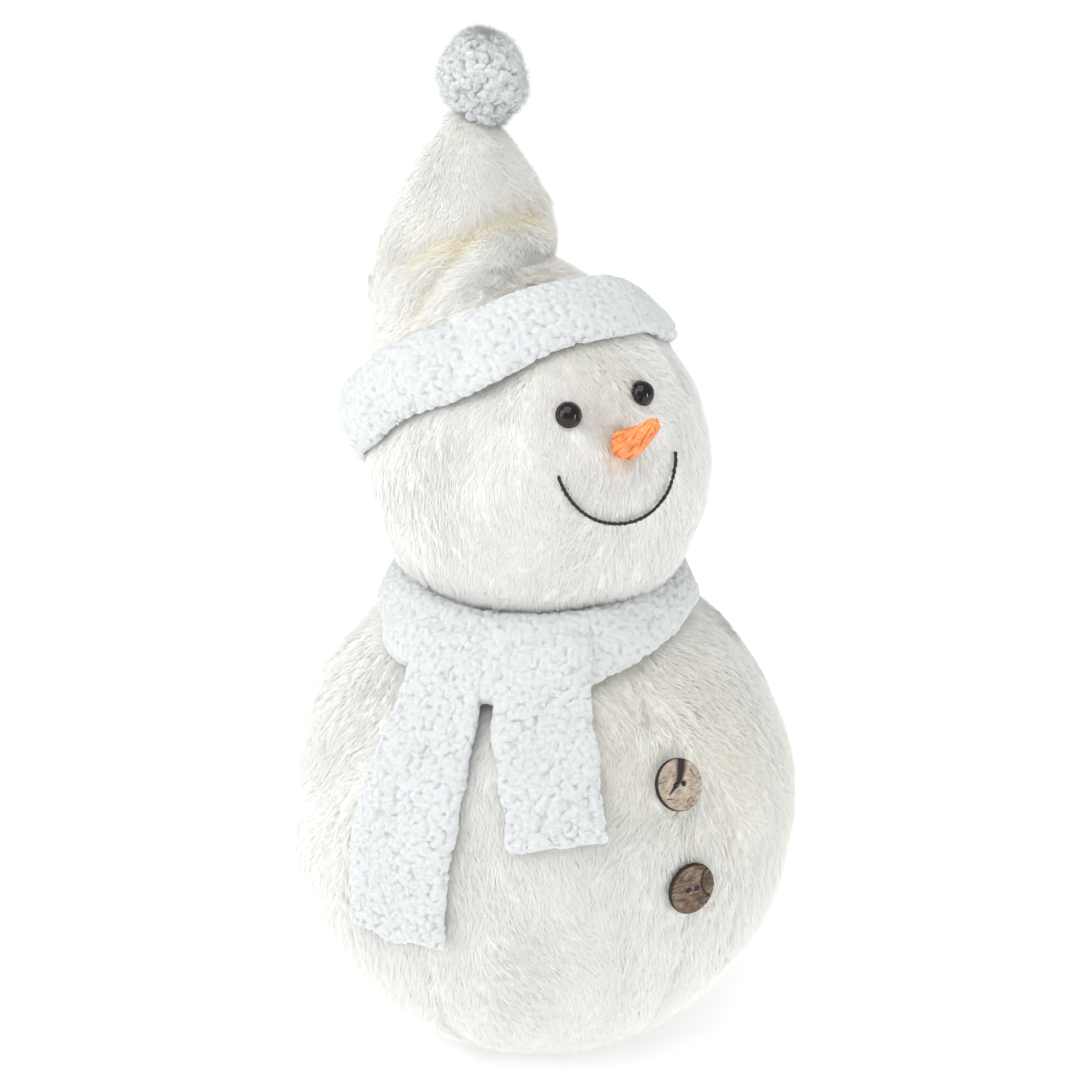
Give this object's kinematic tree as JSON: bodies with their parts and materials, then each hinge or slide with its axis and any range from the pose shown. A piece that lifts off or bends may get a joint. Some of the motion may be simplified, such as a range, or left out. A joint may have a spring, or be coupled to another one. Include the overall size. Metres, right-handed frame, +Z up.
{
  "type": "plush snowman",
  "caption": "Plush snowman of two stuffed fur-fabric balls with a carrot nose, coconut buttons, a sherpa scarf and a tall bobble hat that nods.",
  "frame": {"origin": "centre of the flat base the snowman stands on", "axes": "+Z up through both balls; the snowman faces -Y, so +X is on its left hand side"},
  "size_m": [0.2349, 0.236, 0.4572],
  "materials": {
    "fur_panels": "cream long-pile faux fur, matt with a soft sheen",
    "stuffing": "loose white polyester fibre",
    "pouch": "woven pouch packed with plastic pellets",
    "base_fabric": "flat cream fabric patch",
    "board": "grey fibre board",
    "white_thread": "thick white sewing thread",
    "eye_black": "glossy black with a dark brown rim",
    "white_plastic": "plain white washer plastic",
    "carrot": "carved, painted orange with peach and red streaks, matt",
    "peg_wood": "bare dowel",
    "black_thread": "black embroidery thread, slightly fuzzy",
    "button_upper": "greyish brown coconut shell, sanded, with a dark streak and small cracks",
    "button_lower": "dark brown mottled coconut shell, sanded, with an arc crack",
    "navy_thread": "navy sewing thread",
    "sherpa": "cool white sherpa with small curled tufts",
    "hat_plush": "cream short-pile plush, warmer in its folds"
  },
  "bodies": {
    "root": {"body_panel_1": "fur_panels", "body_panel_2": "fur_panels", "body_panel_3": "fur_panels", "body_panel_4": "fur_panels", "body_panel_5": "fur_panels", "body_panel_6": "fur_panels", "body_fill": "stuffing", "weight_bag": "pouch", "base_patch": "base_fabric", "base_board": "board", "neck_stitching": "white_thread", "button_upper": "button_upper", "button_lower": "button_lower", "button_thread_upper": "navy_thread", "button_thread_lower": "navy_thread", "scarf_wrap": "sherpa", "scarf_crossing": "sherpa"},
    "head": {"head_panel_front": "fur_panels", "head_panel_left": "fur_panels", "head_panel_back": "fur_panels", "head_panel_right": "fur_panels", "head_fill": "stuffing", "eye_left": "eye_black", "eye_right": "eye_black", "eye_left_washer": "white_plastic", "eye_right_washer": "white_plastic", "nose": "carrot", "nose_peg": "peg_wood", "nose_washer": "white_plastic", "mouth_thread": "black_thread", "hat_cuff": "sherpa", "hat_crown": "hat_plush", "hat_fold": "hat_plush", "hat_fill": "stuffing"},
    "hat_tip": {"hat_tip": "hat_plush", "hat_tip_fill": "stuffing"},
    "pompom": {"pompom": "sherpa", "pompom_tie": "white_thread"},
    "scarf_end_long": {"scarf_tail_long": "sherpa"},
    "scarf_end_short": {"scarf_tail_short": "sherpa"}
  },
  "joints": [
    {"name": "head_turn", "type": "hinge", "parent": "root", "child": "head", "pos_m": [0, 0.0003, 0.22], "axis": [0, 0, 1], "range_deg": [-20, 20], "stiffness_Nm_per_rad": 0.5},
    {"name": "hat_tip_nod", "type": "hinge", "parent": "head", "child": "hat_tip", "pos_m": [-0.00812, 0.04737, 0.37404], "axis": [0.9951, -0.0748, 0.0645], "range_deg": [-35, 35], "stiffness_Nm_per_rad": 0.05, "deforming": ["hat_fold"]},
    {"name": "pompom_wobble", "type": "hinge", "parent": "hat_tip", "child": "pompom", "pos_m": [-0.00505, 0.04631, 0.41583], "axis": [0.9951, -0.0748, 0.0645], "range_deg": [-20, 20], "stiffness_Nm_per_rad": 0.01},
    {"name": "scarf_end_long_lift", "type": "hinge", "parent": "root", "child": "scarf_end_long", "pos_m": [-0.0748, -0.03894, 0.19886], "axis": [-0.4618, 0.887, 0], "range_deg": [0, 60]},
    {"name": "scarf_end_short_lift", "type": "hinge", "parent": "root", "child": "scarf_end_short", "pos_m": [-0.04593, -0.07072, 0.19886], "axis": [-0.8387, 0.5446, 0], "range_deg": [0, 60]}
  ]
}
